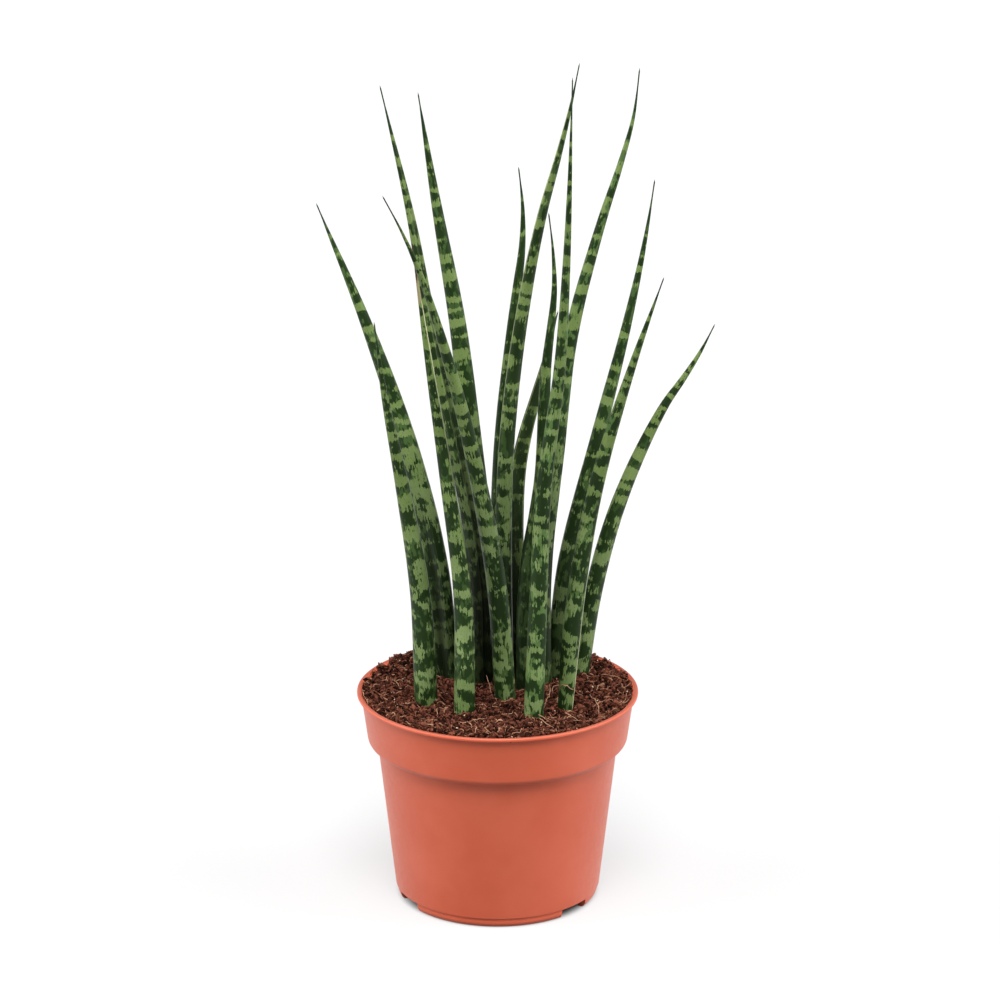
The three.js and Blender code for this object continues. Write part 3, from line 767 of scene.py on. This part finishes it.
def curl_strands(name, mesh, stations, strands):
    """Lays copies of the straight strand along their centre lines. Each strand is its points, its
    thickness and its tone. Side, top and along are a right-handed frame, so the faces stay turned out."""
    work = bmesh.new()
    layer = work.verts.layers.float.new("tone")
    for _ in strands:
        work.from_mesh(mesh)
    verts = work.verts[:]
    per_strand = len(mesh.vertices)
    for number, (points, thickness, strand_tone) in enumerate(strands):
        for vert in verts[number * per_strand:(number + 1) * per_strand]:
            station = round(vert.co.z)
            before, after = points[max(station - 1, 0)], points[min(station + 1, stations - 1)]
            along = (after - before).normalized()
            side = Vector((0, 0, 1)).cross(along)
            side = side.normalized() if side.length > 0.01 else Vector((1, 0, 0))
            top = along.cross(side)
            taper = STRAND_END + (1 - STRAND_END) * math.sin(math.pi * (station + 0.5) / stations)
            wide = thickness / 2 * taper
            vert.co = points[station] + side * vert.co.x * wide + top * vert.co.y * wide
            vert[layer] = strand_tone
    piece = piece_from(work, name, coir)
    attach(piece, "root")


def inside_wall(x, y):
    """The place, drawn in where it would reach into the pot's wall."""
    radius = math.hypot(x, y)
    if radius <= SOIL_RADIUS:
        return x, y
    return x * SOIL_RADIUS / radius, y * SOIL_RADIUS / radius


draw = random.Random(11)
fibres = []
for _ in range(FIBRE_COUNT):
    x, y = open_place(draw, -0.2 * MM)
    length = MM * (FIBRE_SHORTEST + FIBRE_SPREAD * draw.random() ** 2)
    thickness = MM * draw.uniform(*FIBRE_THICKNESS)
    heading = draw.uniform(0, 2 * math.pi)
    curl = draw.uniform(-FIBRE_CURL, FIBRE_CURL)
    arch = length * draw.uniform(0, FIBRE_ARCH)
    lift = MM * draw.uniform(*FIBRE_LIFT)
    tilt = length * draw.uniform(-FIBRE_TILT, FIBRE_TILT)
    dark = draw.random() > LIGHT_SHARE
    fibre_tone = DARK_TONE * draw.random() if dark else draw.uniform(*LIGHT_TONES)
    points = []
    for station in range(FIBRE_STATIONS):
        share = station / (FIBRE_STATIONS - 1)
        at_x, at_y = inside_wall(x, y)
        z = soil_level(at_x, at_y) + lift + arch * math.sin(math.pi * share) + tilt * (share - 0.5)
        points.append(Vector((at_x, at_y, z)))
        step = length / (FIBRE_STATIONS - 1)
        x += step * math.cos(heading + curl * share)
        y += step * math.sin(heading + curl * share)
    fibres.append((points, thickness, fibre_tone))
curl_strands("soil_fibres", strand_template(FIBRE_STATIONS, FIBRE_SIDES), FIBRE_STATIONS, fibres)

# ---------------------------------------------------------------- root hairs
# A few long pale root hairs lie loose over the bed, thin and springy, and one of them arches up in front
# of the leaves. The ones that show best are placed, and the rest are drawn at random.

HAIR_STATIONS = 16
HAIR_SIDES = 5
HAIR_THICKNESS = 0.42 * MM
HAIR_LIFT = 0.6 * MM
HAIR_WOBBLE = 0.35 * MM
HAIR_TONES = (0.7, 0.84)
PLACED_HAIRS = (  # start, middle and end in millimetres, and the height of the arch over the bed
    ((-7.2, 18.7), (-5.1, 4.4), (-3.1, -9.8), 3.5),
    ((9.7, -26.4), (18, -43), (27, -44.2), 2.0),
    ((25.8, 4.4), (27.5, -13.9), (22.4, -30.6), 2.4),
    ((45.5, -9.8), (50, -20.9), (49.8, -37.4), 1.2),
    ((26, -10), (33, -55), (43, -14), 13.5),
)
DRAWN_HAIRS = 34
DRAWN_REACH = (6, 13)  # distance between a drawn hair's ends, in millimetres
DRAWN_ARCH = (0.4, 1.6)
DRAWN_BOW = 0.35  # how far it bends to the side at most, as a share of its reach
draw = random.Random(5)
hairs = []
for i in range(len(PLACED_HAIRS) + DRAWN_HAIRS):
    if i < len(PLACED_HAIRS):
        start, middle, end, arch = PLACED_HAIRS[i]
        start, middle, end = (Vector((x * MM, y * MM)) for x, y in (start, middle, end))
        arch *= MM
    else:
        x, y = open_place(draw, 1 * MM)
        start = Vector((x, y))
        heading = draw.uniform(0, 2 * math.pi)
        reach = MM * draw.uniform(*DRAWN_REACH)
        end = start + reach * Vector((math.cos(heading), math.sin(heading)))
        bow = Vector((-math.sin(heading), math.cos(heading))) * reach * draw.uniform(-DRAWN_BOW, DRAWN_BOW)
        middle = (start + end) / 2 + bow
        arch = MM * draw.uniform(*DRAWN_ARCH)
    hair_tone = draw.uniform(*HAIR_TONES)
    points = []
    for station in range(HAIR_STATIONS):
        share = station / (HAIR_STATIONS - 1)
        flat = start.lerp(middle, share).lerp(middle.lerp(end, share), share)
        wobble = HAIR_WOBBLE * noise.noise((share * 4, i * 3.1, 0))
        at_x, at_y = inside_wall(flat.x + wobble, flat.y - wobble)
        points.append(Vector((at_x, at_y, soil_level(at_x, at_y) + HAIR_LIFT
                              + arch * math.sin(math.pi * share))))
    hairs.append((points, HAIR_THICKNESS, hair_tone))
curl_strands("soil_root_hairs", strand_template(HAIR_STATIONS, HAIR_SIDES), HAIR_STATIONS, hairs)

# ---------------------------------------------------------------- studio
# The plant stands on a wide pale floor in soft white studio light, brightest from above and both sides
# and dimmer from the front.

FLOOR_RADIUS = 14
FLOOR_SIDES = 96
FLOOR_GLOW = 0.585  # as the camera sees it, beside the light that falls on it
FOOTPRINT = 52 * MM  # of the pot, under which the floor doesn't glow: a painted shadow under the pot
MIRRORED_IN_FRONT = 0.1  # glow of the floor that the pot and leaves mirror, in front and elsewhere
MIRRORED_ELSEWHERE = 0.75
floor_work = bmesh.new()
bmesh.ops.create_circle(floor_work, cap_ends=True, segments=FLOOR_SIDES, radius=FLOOR_RADIUS)
painted, tree = empty_material("floor_painted_matt_white")
place = add(tree, "ShaderNodeTexCoord").outputs["Object"]
from_axis = add(tree, "ShaderNodeVectorMath", {0: place}, operation="LENGTH")
toward = add(tree, "ShaderNodeVectorMath", {0: place}, operation="NORMALIZE")
backward = add(tree, "ShaderNodeSeparateXYZ", {"Vector": toward}).outputs["Y"]
ray = add(tree, "ShaderNodeLightPath")
glow = add(tree, "ShaderNodeMapRange",
           {"Value": backward, "From Min": -0.95, "From Max": -0.3, "To Min": MIRRORED_IN_FRONT,
            "To Max": MIRRORED_ELSEWHERE}, **SOFT_STEP)
# No glow under the pot's footprint, which paints the pot's shadow there.
beside = add(tree, "ShaderNodeMapRange",
             {"Value": from_axis, "From Min": 0.85 * FOOTPRINT, "From Max": FOOTPRINT}, **SOFT_STEP)
mirrored = add(tree, "ShaderNodeMath", {0: ray.outputs["Is Glossy Ray"], 1: glow},
               operation="MULTIPLY")
seen = add(tree, "ShaderNodeMath", {0: ray.outputs["Is Camera Ray"], 1: FLOOR_GLOW, 2: mirrored},
           operation="MULTIPLY_ADD")
overexposed = add(tree, "ShaderNodeMath", {0: seen, 1: beside}, operation="MULTIPLY")
matt = add(tree, "ShaderNodeBsdfPrincipled",
           {"Base Color": srgb("#7C7C7C"), "Roughness": 0.9, "Emission Color": srgb("#FFFFFF"),
            "Emission Strength": overexposed})
add(tree, "ShaderNodeOutputMaterial", {"Surface": matt})
floor = piece_from(floor_work, "studio_floor", painted)

# Each soft light: its bearing from the camera's side and its height in degrees, how far from its middle
# it starts to fade and ends, and its strength. The backdrop behind the plant gives the rest.
SOFT_LIGHTS = (
    (-80, 30, 14, 32, 5.2),
    (80, 30, 14, 32, 5.7),
    (0, 61, 7, 21, 23.6),
)
FRONT_GLOW = 0.05
BACK_GLOW = 0.6
world = bpy.data.worlds.new("studio")
bpy.context.scene.world = world
world.use_nodes = True
tree = world.node_tree
tree.nodes.clear()
direction = add(tree, "ShaderNodeTexCoord").outputs["Generated"]
parts = add(tree, "ShaderNodeSeparateXYZ", {"Vector": direction})
strength = add(tree, "ShaderNodeMapRange",
               {"Value": parts.outputs["Y"], "From Min": -0.3, "From Max": 0.4,
                "To Min": FRONT_GLOW, "To Max": BACK_GLOW}, **SOFT_STEP)
for bearing, height, full, faded, power in SOFT_LIGHTS:
    middle = Matrix.Rotation(math.radians(bearing), 3, "Z") @ Vector(
        (0, -math.cos(math.radians(height)), math.sin(math.radians(height))))
    nearness = add(tree, "ShaderNodeVectorMath", {0: direction, 1: middle}, operation="DOT_PRODUCT")
    lamp = add(tree, "ShaderNodeMapRange",
               {"Value": nearness, "From Min": math.cos(math.radians(faded)),
                "From Max": math.cos(math.radians(full)), "To Max": power}, **SOFT_STEP)
    strength = add(tree, "ShaderNodeMath", {0: strength, 1: lamp}, operation="ADD")
lit = add(tree, "ShaderNodeBackground", {"Strength": strength})
plain = add(tree, "ShaderNodeBackground", {"Strength": 1.0})
to_camera = add(tree, "ShaderNodeLightPath").outputs["Is Camera Ray"]
either = add(tree, "ShaderNodeMixShader", {0: to_camera, 1: lit, 2: plain})
add(tree, "ShaderNodeOutputWorld", {"Surface": either})
bpy.context.scene.view_settings.view_transform = "Standard"

# The camera stands in front and a little above, with a long lens.
CAMERA_PLACE = (0, -1872.995 * MM, 808.848 * MM)
CAMERA_TILT = 17.84  # degrees below the horizon
CAMERA_SENSOR = 36
CAMERA_LENS = 144.41
CAMERA_SHIFT = 0.0024
camera_data = bpy.data.cameras.new("photo_camera")
camera_data.sensor_width = CAMERA_SENSOR
camera_data.lens = CAMERA_LENS
camera_data.shift_x = CAMERA_SHIFT
camera = bpy.data.objects.new("photo_camera", camera_data)
camera.location = CAMERA_PLACE
camera.rotation_euler = (math.radians(90 - CAMERA_TILT), 0, 0)
bpy.context.scene.collection.objects.link(camera)
bpy.context.scene.camera = camera
